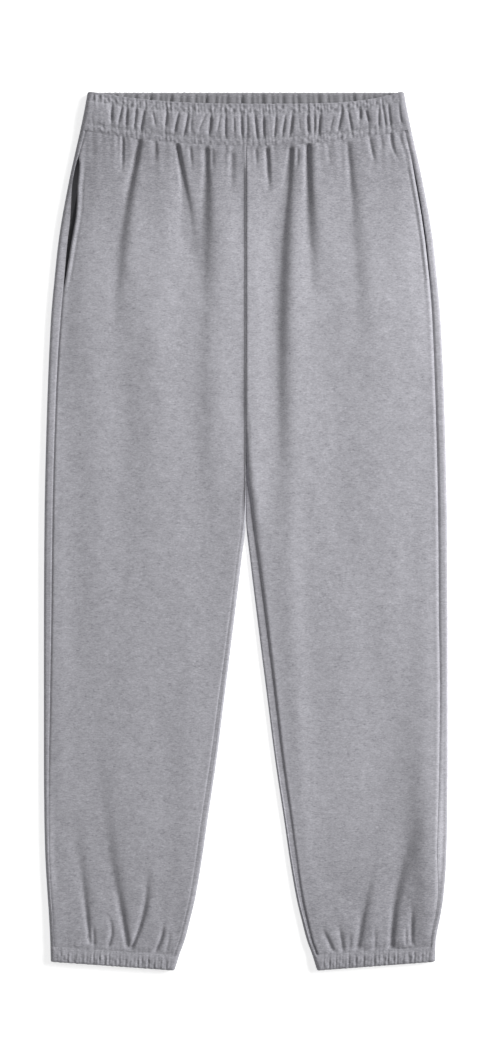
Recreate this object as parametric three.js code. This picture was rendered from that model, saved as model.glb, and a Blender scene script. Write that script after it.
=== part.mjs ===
// Jogger sweatpants, laid flat with the front up. Millimetres, +Z up off the surface,
// +Y towards the waist, +X to the right as seen from above the front.
// The origin is on the surface, under the middle of the garment.
// Left and right are as seen from above the front.
// Rows across the garment are named by how far down the cloth they are from the waist edge.

import * as THREE from 'three';

// Driving sizes
const LENGTH = 1000; // waist edge to hem edge
const BAND_DEPTH = 44; // elastic waistband, as it lies
const CASING_TOP = 982; // the hem casing runs from here to the hem edge
const CROTCH = 440; // where the four panels meet
const SEAM_GAP = 0.3; // between two pieces at a seam
const CROTCH_GAP = 0.9; // the same where the seam turns down between the legs
const CROTCH_GAP_END = 480;
const POCKETING = 1; // one layer of a pocket bag
const POCKET_SLIT = 0.3; // between the two layers of a pocket bag
const HEM_TILT = 10; // how much higher the hem's outer corner lies than its inner one
const HEM_TILT_FROM = 700; // the tilt begins this far down the leg
const HEM_TILT_FULL = 960;
const CLOTH = { colour: 0xa3a5aa, roughness: 0.95, metalness: 0 };
const POCKET_CLOTH = { colour: 0x8d8f95, roughness: 0.95, metalness: 0 };

// Names a table's columns
function table(names, rows) {
  const columns = names.split(' ');
  return rows.map((row) => Object.fromEntries(columns.map((name, i) => [name, row[i]])));
}

// Outer edge and inner edge of one leg, from the middle line
const OUTLINE = table('down out in', [
  [0, 180, 0.15],
  [20, 183.5, 0.15],
  [44, 188.5, 0.15],
  [66, 193.5, 0.15],
  [100, 201, 0.15],
  [168, 213, 0.15],
  [214, 218, 0.15],
  [260, 222, 0.15],
  [350, 226, 0.15],
  [440, 228.5, 0.15],
  [492, 229.3, 0.6],
  [532, 229.7, 4.8],
  [624, 230, 16],
  [692, 230, 24.6],
  [760, 230, 33.2],
  [829, 229.5, 43.5],
  [874, 228.5, 50],
  [920, 226, 58],
  [942, 224.5, 63.3],
  [965, 223.2, 69.3],
  [982, 222.5, 75.5],
  [1000, 222, 81],
]);

// How far the right leg's outer edge is drawn in by its hem elastic
const RIGHT_DRAW = table('down in', [
  [890, 0],
  [930, 3],
  [965, 6.5],
  [1000, 6.5],
]);

// Height of the cloth's upper face in the middle of a panel and at its folds, and the wall's thickness
const LOFT = table('down middle edge wall', [
  [44, 10, 9.6, 3.2],
  [70, 10.2, 9.6, 3.2],
  [100, 9.6, 9.2, 2.9],
  [150, 8.8, 8.8, 2.5],
  [214, 8.2, 8.6, 2.3],
  [300, 7.2, 8.2, 2.2],
  [440, 6.4, 7.8, 2.2],
  [600, 6, 7.6, 2.2],
  [850, 6.2, 7.6, 2.2],
  [920, 7.4, 8, 2.3],
  [950, 8.6, 8.6, 2.5],
  [970, 9.2, 9, 2.8],
  [982, 8.8, 8.6, 2.8],
]);

// Waistband: height over both layers, wall and how deep its gathers are there
const BAND = table('down high wall gather', [
  [0, 8.8, 4.2, 0.2],
  [4, 10.6, 4.2, 0.45],
  [11, 11.8, 4.2, 0.85],
  [22, 12, 4.2, 1],
  [36, 11.6, 4.2, 0.85],
  [44, 10, 3.6, 0.35],
]);
const BAND_ROWS = [1.2, 5, 12, 22, 33, 40, BAND_DEPTH];
const BAND_INNER_ROWS = [BAND_DEPTH, 33, 20, 9, 1.2];

// Hem casing, likewise
const CASING = table('down high wall gather', [
  [982, 8.8, 3, 0.5],
  [987, 9.8, 3.2, 0.9],
  [992, 10, 3.2, 1],
  [997, 9.4, 3.2, 0.8],
  [1000, 7.6, 3, 0.4],
]);
const CASING_ROWS = [CASING_TOP, 986.5, 992.5, 998.6];
const CASING_INNER_ROWS = [998.6, 991, CASING_TOP];

// The waist edge hangs in a shallow curve between its corners, the front one more than the back one
const SAG = table('down front back', [
  [0, 10.5, 0],
  [44, 18, 6],
  [120, 8, 3],
  [220, 0, 0],
]);

// Side seam, from the leg's outer edge: where the back's edge lies, and the gap to the front's edge.
// The gap is the pocket opening between 79 and 227 down.
const SIDE_SEAM = table('down leftBack leftGap rightBack rightGap', [
  [44, 6.5, 0.3, 7, 0.3],
  [76, 6.5, 0.3, 7, 0.3],
  [92, 6.5, 3.4, 7, 1.1],
  [113, 7, 6, 7.2, 1.7],
  [150, 8.4, 6, 7.8, 1.9],
  [190, 10, 3.4, 8.2, 1.7],
  [214, 11, 1.6, 8.4, 1.1],
  [230, 11.4, 0.3, 9, 0.3],
  [330, 10, 0.3, 9.8, 0.3],
  [578, 9, 0.3, 10, 0.3],
  [683, 7.5, 0.3, 8.8, 0.3],
  [787, 5.8, 0.3, 9.8, 0.3],
  [866, 5, 0.3, 11, 0.3],
  [931, 4.6, 0.3, 6, 0.3],
  [982, 4.6, 0.3, 5.4, 0.3],
]);

// Inseam of the front, from the leg's inner edge
const INSEAM = table('down left right', [
  [440, 0, 0],
  [448, 0.8, 0.8],
  [456, 3.2, 3.6],
  [472, 4.4, 7],
  [500, 4.8, 8.4],
  [600, 5.6, 9.4],
  [800, 7, 8],
  [982, 6, 5.4],
]);

// Largest folds: across, from the middle line, at the top, middle and foot of each,
// where it runs from and to, its width and depth.
const WAIST_FOLDS = table('top middle foot from to width depth', [
  [-77.5, -70, -55, 62, 190, 4, 3],
  [-48.6, -48.6, -54.3, 71, 242, 5.5, 3.2],
  [-123.7, -132, -145.4, 62, 242, 5, 2.6],
  [-138.6, -139, -139.7, 53, 88, 3, 1.6],
  [-14.4, -14.4, -14.4, 80, 105, 4, 0.8],
  [-36, -36, -36, 63, 85, 3, 1.4],
  [25.5, 27, 28.3, 63, 95, 3.5, 1.3],
  [52.8, 42, 42.5, 65, 358, 6, 3.4],
  [74.4, 70, 76.7, 63, 168, 4, 3.4],
  [113, 125, 125.7, 57, 168, 6, 1.8],
  [144, 147.5, 150.8, 55, 77, 3, 1.6],
  [165.5, 171, 176.4, 51, 69, 3, 1.5],
]);
const HEM_FOLDS = table('top middle foot from to width depth', [
  [-192, -184, -177.9, 880, 972, 5, 1.8],
  [-156.8, -155, -152.8, 948, 970, 3, 1.5],
  [-159, -145.4, -132.9, 885, 973, 4.4, 3],
  [-110, -116.3, -128.3, 917, 973, 4, 2.8],
  [-93, -96, -99.8, 962, 974, 3, 1.8],
  [87.6, 94, 100.6, 958, 980, 3, 1.8],
  [107.5, 109, 111.6, 960, 977, 3, 1.8],
  [143.9, 137, 129, 865, 969, 5, 2.6],
  [182.6, 172, 167, 887, 972, 4.4, 3.2],
  [190, 190.4, 190.8, 962, 973, 3, 1.4],
]);

// Valleys of the waistband's gathers, from the middle line
const BAND_VALLEYS_LEFT = [
  152.3, 143.7, 135.1, 126.4, 117.7, 103.6, 91.2, 80.1, 69.1, 60, 49.5, 40.6, 33.2, 23.3, 14.6, 5.4,
];
const BAND_VALLEYS_RIGHT = [
  3.6, 12, 20, 33, 42.9, 50.9, 60.5, 70.7, 80.4, 96, 108.3, 118.2, 129.3, 138, 150.7, 163, 175.5,
];
const GATHER_WIDTH = 2.8;
const BAND_GATHER_DEPTH = 2.3;
const BACK_BAND_GATHERS = 30; // seen inside the back of the band
const BACK_GATHER_DEPTH = 1.3;
const HEM_GATHERS = 19; // on each leg
const HEM_GATHER_DEPTH = 1.8;
const GOLDEN_RATIO = (1 + Math.sqrt(5)) / 2;

// Rows across the panels
const PANEL_ROWS = [
  44.3, 51, 59, 68, 80, 94, 113, 135, 160, 190, 214, 232, 262, 305, 358, 400, 425, CROTCH, 444, 448, 452,
  456, 463, 472, 500, 560, 640, 720, 800, 860, 895, 920, 940, 955, 966, 975, 981.7,
];
const TORSO_END = 425; // above this row both legs share one hollow

// Pocket bag: reach inwards from the leg's outer edge, and where it begins and ends down the cloth
const BAG = table('reach from to', [
  [12, 86, 222],
  [32, 84, 268],
  [60, 92, 306],
  [88, 108, 322],
  [110, 134, 312],
  [124, 172, 282],
]);
const BAG_STEPS = 5; // points down each layer of a bag
const BAG_LIFT = 1.5; // how much the front is raised over a bag

// Reads a table's column at a row, on a smooth curve that never overshoots
function read(rows, down, column) {
  const last = rows.length - 1;
  if (down <= rows[0].down) return rows[0][column];
  if (down >= rows[last].down) return rows[last][column];
  let i = 0;
  while (rows[i + 1].down < down) i += 1;
  const rise = (k) => (rows[k + 1][column] - rows[k][column]) / (rows[k + 1].down - rows[k].down);
  const shared = (p, q) => (p * q <= 0 ? 0 : (2 * p * q) / (p + q));
  const slopeHere = i === 0 ? rise(0) : shared(rise(i - 1), rise(i));
  const slopeNext = i === last - 1 ? rise(i) : shared(rise(i), rise(i + 1));
  const step = rows[i + 1].down - rows[i].down;
  const t = (down - rows[i].down) / step;
  const ease = t * t * (3 - 2 * t);
  const bend = t * (1 - t) * ((1 - t) * slopeHere - t * slopeNext) * step;
  return rows[i][column] * (1 - ease) + rows[i + 1][column] * ease + bend;
}

const { smoothstep } = THREE.MathUtils;
const uneven = (i) => ((i * GOLDEN_RATIO) % 1) - 0.5;
const bell = (s) => Math.exp(-s * s);
const valley = (s) => Math.exp(-(Math.abs(s) ** 1.4));

// Gathers of one elastic: where each valley lies, how deep it is and how far it runs into the panel
function gathers(places, depth, runLeast, runMost) {
  return places.map((across, i) => ({
    across,
    depth: depth * (1 + 0.5 * uneven(i + 1)),
    run: runLeast + (runMost - runLeast) * (uneven(3 * i + 2) + 0.5) ** 2,
  }));
}

const BAND_GATHERS = gathers(
  [...BAND_VALLEYS_LEFT.map((x) => -x), ...BAND_VALLEYS_RIGHT],
  BAND_GATHER_DEPTH,
  9,
  34,
);

// Where one hem gather lies between the leg's two folds, as a share of the way
const hemShare = (i) => (i + 0.5 + 0.4 * uneven(i + 4)) / HEM_GATHERS;

// Depth of the hem gathers at a place that is a share of the way across the leg
function hemGather(share, width, strength) {
  let sum = 0;
  for (let i = 0; i < HEM_GATHERS; i += 1) {
    const s = ((share - hemShare(i)) * width) / (0.85 * GATHER_WIDTH);
    sum += (1 + 0.6 * uneven(i + 2)) * valley(s);
  }
  return HEM_GATHER_DEPTH * strength * sum;
}

function bandGather(across, strengthOf) {
  let sum = 0;
  for (const gather of BAND_GATHERS) {
    const strength = strengthOf(gather);
    if (strength > 0) sum += strength * gather.depth * valley((across - gather.across) / GATHER_WIDTH);
  }
  return sum;
}

// Where a fold's valley lies at a row, and how strong it is there
function foldAt(fold, down, fromHem) {
  const t = (down - fold.from) / (fold.to - fold.from);
  if (t < -0.12 || t > 1.12) return null;
  const along = Math.min(Math.max(t, 0), 1);
  const across = fold.top * (1 - along) * (1 - 2 * along)
    + 4 * fold.middle * along * (1 - along)
    + fold.foot * along * (2 * along - 1);
  const lead = fromHem ? along : 1 - along;
  const ends = smoothstep(t, -0.12, 0.06) * (1 - smoothstep(t, 0.94, 1.12));
  return { across, width: fold.width, depth: fold.depth * ends * lead ** 0.6 };
}

// The folds that cross a row
function foldsAt(down) {
  const waist = WAIST_FOLDS.map((fold) => foldAt(fold, down, false));
  const hem = HEM_FOLDS.map((fold) => foldAt(fold, down, true));
  return [...waist, ...hem].filter((fold) => fold && fold.depth > 0.1);
}

// A fold is a valley between two soft ridges
function foldHeight(folds, x) {
  let sum = 0;
  for (const fold of folds) {
    const s = (x - fold.across) / fold.width;
    sum += fold.depth * (0.35 * bell(s - 1.9) + 0.2 * bell(s + 1.9) - bell(s));
  }
  return sum;
}

// One row across a leg. Its across values count outwards from the middle line.
function legRow(side, down) {
  const draw = side > 0 ? read(RIGHT_DRAW, down, 'in') : 0;
  const out = read(OUTLINE, down, 'out') - draw;
  const inner = read(OUTLINE, down, 'in');
  const edge = read(LOFT, down, 'edge');
  const middle = read(LOFT, down, 'middle');
  const foldOut = edge / 2;
  const foldIn = foldOut * smoothstep(down, TORSO_END, 450);
  const first = inner + foldIn;
  const last = out - foldOut;
  const legs = smoothstep(down, 400, CROTCH + 20);
  const overBag = smoothstep(down, 60, 100) * (1 - smoothstep(down, 290, 340));
  const folds = foldsAt(down);
  const nearBand = (gather) => 0.45 * (1 - smoothstep(down, BAND_DEPTH, BAND_DEPTH + gather.run));
  const nearHem = 0.5 * smoothstep(down, 945, CASING_TOP);

  // Height of the upper face. The inner side of the wall is smooth under the small gathers.
  const height = (across, gathered) => {
    const nearOut = bell((last - across) / 26);
    const nearIn = legs * bell((across - first) / 22);
    const bag = smoothstep(across, out - 150, out - 112) * (1 - smoothstep(across, out - 34, out - 10));
    const calm = 1 - bell((last - across) / 5);
    const plain = middle + (edge - middle) * Math.max(nearOut, nearIn) + BAG_LIFT * overBag * bag;
    const folded = plain + foldHeight(folds, side * across) * calm;
    if (!gathered) return folded;
    const share = (across - first) / (last - first);
    const band = down < 90 ? bandGather(side * across, nearBand) : 0;
    const hem = nearHem > 0 ? hemGather(share, last - first, nearHem) : 0;
    return folded - (band + hem) * calm;
  };
  return {
    side, down, out, inner, first, last, foldOut, foldIn, high: edge, height, folds, nearBand, nearHem,
    wall: read(LOFT, down, 'wall'),
    bottomInner: () => 0,
  };
}

// A station runs round a tube: 0 to 1 over the top from the inner to the outer fold, 1 to 2 down
// round the outer fold, 2 to 3 back under, 3 to 4 up round the inner fold, and on from there.
const stationOf = (row, across) => (across - row.first) / (row.last - row.first);

function around(row, station, wall) {
  const lap = Math.floor(station);
  const part = station - lap;
  const turn = ((lap % 4) + 4) % 4;
  const angle = part * Math.PI;
  const half = row.high / 2;
  const innerHalf = half - wall;
  if (turn === 0) {
    const across = row.first + part * (row.last - row.first);
    return { across, z: row.height(across, wall === 0) - wall, back: 0 };
  }
  if (turn === 1) {
    const reach = Math.max(row.foldOut - wall, 0.05);
    const z = half + innerHalf * Math.cos(angle);
    return { across: row.last + reach * Math.sin(angle), z, back: part };
  }
  if (turn === 2) {
    const across = row.last - part * (row.last - row.first);
    return { across, z: wall > 0 ? wall - row.bottomInner(across) : 0, back: 1 };
  }
  const reach = Math.max(row.foldIn - wall, 0.05);
  const centre = wall > 0 ? row.inner + wall + reach : row.first;
  const swing = wall > 0 ? reach : row.foldIn;
  return { across: centre - swing * Math.sin(angle), z: half - innerHalf * Math.cos(angle), back: 1 - part };
}

// The place of a point: rows near the waist sag between the corners, rows near a hem tilt
function settle(row, spot, down) {
  const near = Math.min(Math.abs(spot.across) / row.sagSpan, 1);
  const sag = read(SAG, down, 'front') * (1 - spot.back) + read(SAG, down, 'back') * spot.back;
  const tiltShare = (spot.across - row.tiltFrom) / (row.tiltTo - row.tiltFrom);
  const tilt = HEM_TILT * smoothstep(down, HEM_TILT_FROM, HEM_TILT_FULL) * tiltShare;
  const lies = down + sag * (1 - near * near) - tilt;
  return new THREE.Vector3(row.side * spot.across, LENGTH / 2 - lies, spot.z);
}

// Adds what settle reads to a row
function withSettling(row) {
  return { ...row, sagSpan: row.last, tiltFrom: row.inner, tiltTo: row.out };
}

// Triangles between two chains of points. Each link has a station and a point's number.
function zip(faces, upper, lower) {
  let i = 0;
  let j = 0;
  while (i < upper.length - 1 || j < lower.length - 1) {
    const canUpper = i < upper.length - 1;
    const canLower = j < lower.length - 1;
    const upperNext = canUpper ? upper[i].station + upper[i + 1].station : Infinity;
    const lowerNext = canLower ? lower[j].station + lower[j + 1].station : Infinity;
    if (upperNext <= lowerNext) {
      faces.push([upper[i].point, lower[j].point, upper[i + 1].point]);
      i += 1;
    } else {
      faces.push([upper[i].point, lower[j].point, lower[j + 1].point]);
      j += 1;
    }
  }
}

// Drops stations that lie closer together than the least step, but keeps the two ends
function thin(stations, least) {
  const sorted = [...stations].sort((p, q) => p - q);
  const end = sorted[sorted.length - 1];
  const kept = [sorted[0]];
  for (const station of sorted.slice(1, -1)) {
    if (station - kept[kept.length - 1] > least && end - station > least) kept.push(station);
  }
  kept.push(end);
  return kept;
}

function chain(points, row, down, stations, wall) {
  return stations.map((station) => {
    const place = settle(row, around(row, station, wall), down);
    points.push(place);
    return { station, point: points.length - 1 };
  });
}

function solid(points, faces, outward) {
  const geometry = new THREE.BufferGeometry();
  geometry.setAttribute('position', new THREE.Float32BufferAttribute(points.flatMap((p) => p.toArray()), 3));
  geometry.setIndex(faces.flatMap(([p, q, r]) => (outward > 0 ? [p, q, r] : [p, r, q])));
  geometry.computeVertexNormals();
  return geometry;
}

// An open wall: the stations of each row's outer and inner face, joined by rims all round
function panel(rows, outerOf, innerOf) {
  const points = [];
  const faces = [];
  const outer = rows.map((row) => chain(points, row, row.down, outerOf(row), 0));
  const inner = rows.map((row) => chain(points, row, row.down, innerOf(row), row.wall));
  const back = (links) => [...links].reverse().map(({ station, point }) => ({ station: -station, point }));
  const rim = (p, q) => [p, q].map(({ point }, station) => ({ station, point }));
  for (let i = 0; i < rows.length - 1; i += 1) {
    zip(faces, outer[i], outer[i + 1]);
    zip(faces, back(inner[i]), back(inner[i + 1]));
    zip(faces, rim(inner[i][0], outer[i][0]), rim(inner[i + 1][0], outer[i + 1][0]));
    zip(faces, rim(outer[i].at(-1), inner[i].at(-1)), rim(outer[i + 1].at(-1), inner[i + 1].at(-1)));
  }
  zip(faces, inner[0], outer[0]);
  zip(faces, outer.at(-1), inner.at(-1));
  return solid(points, faces, rows[0].side);
}

// A closed wall round a tube: loops down its outer face, up its inner face and back to the first
function sleeve(loops, side) {
  const points = [];
  const faces = [];
  const closed = loops.map(({ row, down, stations, wall }) => {
    const links = chain(points, row, down, stations, wall);
    return [...links, { station: links[0].station + 4, point: links[0].point }];
  });
  closed.forEach((loop, i) => zip(faces, loop, closed[(i + 1) % closed.length]));
  return solid(points, faces, side);
}

// Stations across the top of a row: even steps, and closer ones at folds and gathers
function topStations(row, step, withGathers) {
  const count = Math.round((row.last - row.first) / step);
  const places = Array.from({ length: count - 1 }, (_, i) => row.first + ((row.last - row.first) * (i + 1)) / count);
  for (const fold of row.folds) {
    const middle = fold.across * row.side;
    if (middle > row.first && middle < row.last) {
      places.push(...[-1.9, -0.9, 0, 0.9, 1.9].map((s) => middle + s * fold.width));
    }
  }
  if (withGathers) places.push(...gatherPlaces(row));
  const room = 0.004;
  return places.map((across) => stationOf(row, across)).filter((s) => s > room && s < 1 - room);
}

// Valleys and crests of the gathers that a row still shows
function gatherPlaces(row) {
  const places = [];
  if (row.down < 90) {
    const shown = BAND_GATHERS.filter((gather) => row.nearBand(gather) * gather.depth > 0.3);
    const own = shown.map((gather) => gather.across * row.side).filter((across) => across > 0);
    places.push(...own, ...own.map((across) => across + 1.5 * GATHER_WIDTH));
  }
  if (row.nearHem > 0.15) {
    for (let i = 0; i < HEM_GATHERS; i += 1) {
      const here = row.first + hemShare(i) * (row.last - row.first);
      places.push(here, here + (0.5 * (row.last - row.first)) / HEM_GATHERS);
    }
  }
  return places;
}

// Where a seam lies, from how far it is inside the leg's outer or inner edge
function outerSeam(row, inset) {
  if (inset >= row.foldOut) return stationOf(row, row.out - inset);
  return 1 + Math.asin(1 - inset / row.foldOut) / Math.PI;
}

function innerSeam(row, inset) {
  if (inset >= row.foldIn) return stationOf(row, row.inner + inset);
  return -Math.asin(1 - inset / row.foldIn) / Math.PI;
}

// Both ends of the front and of the back on a row
function seams(row) {
  const name = row.side > 0 ? 'right' : 'left';
  const backEdge = read(SIDE_SEAM, row.down, `${name}Back`);
  const opening = read(SIDE_SEAM, row.down, `${name}Gap`);
  const inset = row.down > TORSO_END ? read(INSEAM, row.down, name) : 0;
  const seamGap = row.down < CROTCH_GAP_END ? CROTCH_GAP : SEAM_GAP;
  const frontStart = innerSeam(row, inset);
  const onTop = Math.max(frontStart, 0) * (row.last - row.first);
  const beyond = seamGap - onTop;
  const backEdgeInside = beyond > 0
    ? Math.min(frontStart, 0) - beyond / (Math.PI * row.foldOut)
    : frontStart - seamGap / (row.last - row.first);
  return {
    frontStart,
    frontEnd: outerSeam(row, backEdge + opening),
    backStart: outerSeam(row, backEdge),
    backEnd: row.down > TORSO_END ? 4 + backEdgeInside : 3,
  };
}

const between = (from, to, stations) => [from, ...stations.filter((s) => s > from && s < to), to];
const FOLD_STATIONS = [0, 0.25, 0.5, 0.75, 1];

function front(side) {
  const rows = PANEL_ROWS.map((down) => withSettling(legRow(side, down)));
  const stations = (step, gathered, least) => (row) => {
    const { frontStart, frontEnd } = seams(row);
    const folds = FOLD_STATIONS.flatMap((s) => [s - 1, s + 1]);
    const list = [...topStations(row, step, gathered), ...folds];
    return thin(between(frontStart, frontEnd, list), least);
  };
  return panel(rows, stations(19, true, 0.0085), stations(27, false, 0.016));
}

function back(side) {
  const rows = PANEL_ROWS.map((down) => withSettling(legRow(side, down)));
  const flat = [0.25, 0.5, 0.75];
  const outerTurns = [1, 3].flatMap((lap) => FOLD_STATIONS.map((s) => s + lap));
  const innerTurns = [1, 3].flatMap((lap) => [0, 0.5, 1].map((s) => s + lap));
  const run = (turns) => (row) => {
    const { backStart, backEnd } = seams(row);
    return thin(between(backStart, backEnd, [...turns, ...flat.map((s) => s + 2)]), 0.004);
  };
  return panel(rows, run(outerTurns), run(innerTurns));
}

// Evenly spread gathers inside the back of the band
const backShare = (i) => (i + 0.5 + 0.4 * uneven(i + 7)) / BACK_BAND_GATHERS;

function bandRow(down) {
  const out = read(OUTLINE, down, 'out');
  const high = read(BAND, down, 'high');
  const strength = read(BAND, down, 'gather');
  const fold = high / 2;
  const last = out - fold;
  const calm = (across) => 1 - bell((last - Math.abs(across)) / 4);
  const height = (across, gathered) => high - (gathered ? bandGather(across, () => strength) * calm(across) : 0);
  const bottomInner = (across) => {
    let sum = 0;
    for (let i = 0; i < BACK_BAND_GATHERS; i += 1) {
      const middle = (2 * backShare(i) - 1) * last;
      sum += (1 + 0.5 * uneven(i)) * valley((across - middle) / GATHER_WIDTH);
    }
    return BACK_GATHER_DEPTH * strength * sum * calm(across);
  };
  return {
    side: 1, down, out, inner: -out, first: -last, last, foldOut: fold, foldIn: fold, high, height, bottomInner,
    wall: read(BAND, down, 'wall'),
    sagSpan: last, tiltFrom: -out, tiltTo: out,
  };
}

function waistband() {
  const folds = [1, 1.3, 1.5, 1.7, 2, 3, 3.3, 3.5, 3.7];
  const outer = (row) => {
    const valleys = BAND_GATHERS.map((gather) => gather.across).sort((p, q) => p - q);
    const crests = valleys.slice(1).map((across, i) => (across + valleys[i]) / 2);
    const sides = valleys.flatMap((across) => [across - 0.8 * GATHER_WIDTH, across + 0.8 * GATHER_WIDTH]);
    const top = [...valleys, ...crests, ...sides].map((across) => stationOf(row, across));
    return thin([0, ...top, ...folds, 2.25, 2.5, 2.75], 0.0042);
  };
  const inner = () => {
    const backWaves = Array.from({ length: BACK_BAND_GATHERS }, (_, i) => 3 - backShare(i));
    const crests = backWaves.slice(1).map((station, i) => (station + backWaves[i]) / 2);
    return thin([0, 0.25, 0.5, 0.75, 1, 1.5, 2, ...backWaves, ...crests, 3, 3.5], 0.004);
  };
  const loop = (down, wallShare, stationsOf) => {
    const row = bandRow(down);
    return { row, down, stations: stationsOf(row), wall: row.wall * wallShare };
  };
  return sleeve([
    ...BAND_ROWS.map((down) => loop(down, 0, outer)),
    ...BAND_INNER_ROWS.map((down) => loop(down, 1, inner)),
    loop(0, 0.5, inner),
  ], 1);
}

function casingRow(side, down) {
  const plain = legRow(side, CASING_TOP);
  const draw = side > 0 ? read(RIGHT_DRAW, down, 'in') : 0;
  const out = read(OUTLINE, down, 'out') - draw;
  const inner = read(OUTLINE, down, 'in');
  const high = read(CASING, down, 'high');
  const strength = read(CASING, down, 'gather');
  const fold = high / 2;
  const first = inner + fold;
  const last = out - fold;
  const height = (across, gathered) => {
    const calm = 1 - bell((last - across) / 3) - bell((across - first) / 3);
    const share = (across - first) / (last - first);
    return high - (gathered ? hemGather(share, last - first, strength) * calm : 0);
  };
  return {
    ...plain, down, out, inner, first, last, foldOut: fold, foldIn: fold, high, height,
    wall: read(CASING, down, 'wall'),
    sagSpan: last, tiltFrom: inner, tiltTo: out,
  };
}

function hemCasing(side) {
  const folds = [1, 1.3, 1.5, 1.7, 2, 3, 3.3, 3.5, 3.7];
  const outer = () => {
    const valleys = Array.from({ length: HEM_GATHERS }, (_, i) => hemShare(i));
    const crests = valleys.slice(1).map((share, i) => (share + valleys[i]) / 2);
    return thin([0, ...valleys, ...crests, ...folds, 2.5], 0.004);
  };
  const inner = () => [0, 0.25, 0.5, 0.75, 1, 1.5, 2, 2.5, 3, 3.5];
  const loop = (down, wallShare, stationsOf) => {
    const row = casingRow(side, down);
    return { row, down, stations: stationsOf(row), wall: row.wall * wallShare };
  };
  return sleeve([
    ...CASING_ROWS.map((down) => loop(down, 0, outer)),
    loop(LENGTH, 0.5, inner),
    ...CASING_INNER_ROWS.map((down) => loop(down, 1, inner)),
  ], side);
}

// A pocket bag is a flat pouch that is open along the side seam. It lies on the back's inner face.
function pocketBag(side) {
  const points = [];
  const faces = [];
  const name = side > 0 ? 'right' : 'left';

  // One loop round the pouch: down its lower layer, then back up its upper layer
  const loop = ({ reach, from, to }, inset) => {
    const links = [];
    const first = from + 2 * inset;
    const last = to - 2 * inset;
    for (const upper of [0, 1]) {
      for (let i = 0; i < BAG_STEPS; i += 1) {
        const share = i / (BAG_STEPS - 1);
        const down = first + (last - first) * (upper ? 1 - share : share);
        const row = withSettling(legRow(side, down));
        const mouth = reach === BAG[0].reach;
        const step = mouth && upper ? 8 + read(SIDE_SEAM, down, `${name}Gap`) : 0;
        const floor = row.wall + SEAM_GAP;
        const lower = upper ? POCKETING + POCKET_SLIT + POCKETING - inset : inset;
        const across = row.out - reach - step + (mouth ? 0 : inset);
        points.push(settle(row, { across, z: floor + lower, back: 1 }, down));
        links.push({ station: links.length, point: points.length - 1 });
      }
    }
    return [...links, { station: links.length, point: links[0].point }];
  };
  const outer = BAG.map((row) => loop(row, 0));
  const inner = BAG.map((row) => loop(row, POCKETING)).reverse();
  const loops = [...outer, ...inner];
  const tip = outer.length - 1;
  loops.forEach((links, i) => {
    if (i !== tip) zip(faces, links, loops[(i + 1) % loops.length]);
  });

  // The deep end of the pouch is closed, outside and inside
  const close = (links, turned) => {
    for (let i = 0; i < BAG_STEPS - 1; i += 1) {
      const [p, q] = [links[i].point, links[i + 1].point];
      const [r, s] = [links[2 * BAG_STEPS - 2 - i].point, links[2 * BAG_STEPS - 1 - i].point];
      faces.push(turned ? [p, r, q] : [p, q, r], turned ? [p, s, r] : [p, r, s]);
    }
  };
  close(outer.at(-1), true);
  close(inner[0], false);
  return solid(points, faces, -side);
}

function piece(name, geometry, cloth) {
  const { colour, roughness, metalness } = cloth;
  const mesh = new THREE.Mesh(geometry, new THREE.MeshStandardMaterial({ color: colour, roughness, metalness }));
  mesh.name = name;
  return mesh;
}

const sweatpants = new THREE.Group();
sweatpants.add(piece('waistband', waistband(), CLOTH));
for (const [name, side] of [['left', -1], ['right', 1]]) {
  sweatpants.add(piece(`front_${name}`, front(side), CLOTH));
  sweatpants.add(piece(`back_${name}`, back(side), CLOTH));
  sweatpants.add(piece(`hem_casing_${name}`, hemCasing(side), CLOTH));
  sweatpants.add(piece(`pocket_bag_${name}`, pocketBag(side), POCKET_CLOTH));
}

export default sweatpants;
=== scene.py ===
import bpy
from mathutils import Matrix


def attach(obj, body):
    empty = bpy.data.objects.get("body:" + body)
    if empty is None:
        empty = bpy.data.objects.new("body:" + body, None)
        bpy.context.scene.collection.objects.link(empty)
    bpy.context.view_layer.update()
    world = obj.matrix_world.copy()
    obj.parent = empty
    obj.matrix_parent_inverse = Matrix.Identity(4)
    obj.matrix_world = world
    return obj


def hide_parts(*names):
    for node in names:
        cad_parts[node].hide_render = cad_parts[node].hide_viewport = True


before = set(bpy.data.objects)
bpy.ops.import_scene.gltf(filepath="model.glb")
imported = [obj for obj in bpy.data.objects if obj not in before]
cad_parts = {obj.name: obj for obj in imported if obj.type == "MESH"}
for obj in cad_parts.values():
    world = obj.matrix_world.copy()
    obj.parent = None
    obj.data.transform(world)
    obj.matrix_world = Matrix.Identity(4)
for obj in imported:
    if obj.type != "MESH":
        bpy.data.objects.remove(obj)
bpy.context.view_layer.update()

# Jogger sweatpants laid flat with the front up: gathered elastic waistband, side seam pockets,
# gathered elastic hems. Shapes are worked out in millimetres and written to the meshes in metres.
# Rows across the garment are named by how far down the cloth they are from the waist edge.
# Left and right are as seen from above the front.
from types import SimpleNamespace

import bpy
import numpy as np
from mathutils import Vector

MM = 0.001
LENGTH = 1000
BAND_DEPTH = 44
CASING_TOP = 982
CROTCH = 440
TORSO_END = 425
FOLD_ROUND = 560  # the inner folds are pressed square at the crotch and round from here on
SEAM_GAP = 0.08
HEM_TILT = 10
HEM_TILT_FROM = 700
HEM_TILT_FULL = 960
CLOTH = 1.9  # thickness of the fleece
LAYERS = 4  # two layers of it and the air between them
GOLDEN_RATIO = (1 + 5 ** 0.5) / 2


def table(names, *rows):
    """Rows of numbers under named columns."""
    columns = names.split()
    return {name: np.array([row[i] for row in rows], float) for i, name in enumerate(columns)}


def rows_of(chart):
    """The rows of a table, one at a time."""
    names = list(chart)
    return [SimpleNamespace(**dict(zip(names, values))) for values in zip(*chart.values())]


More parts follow.
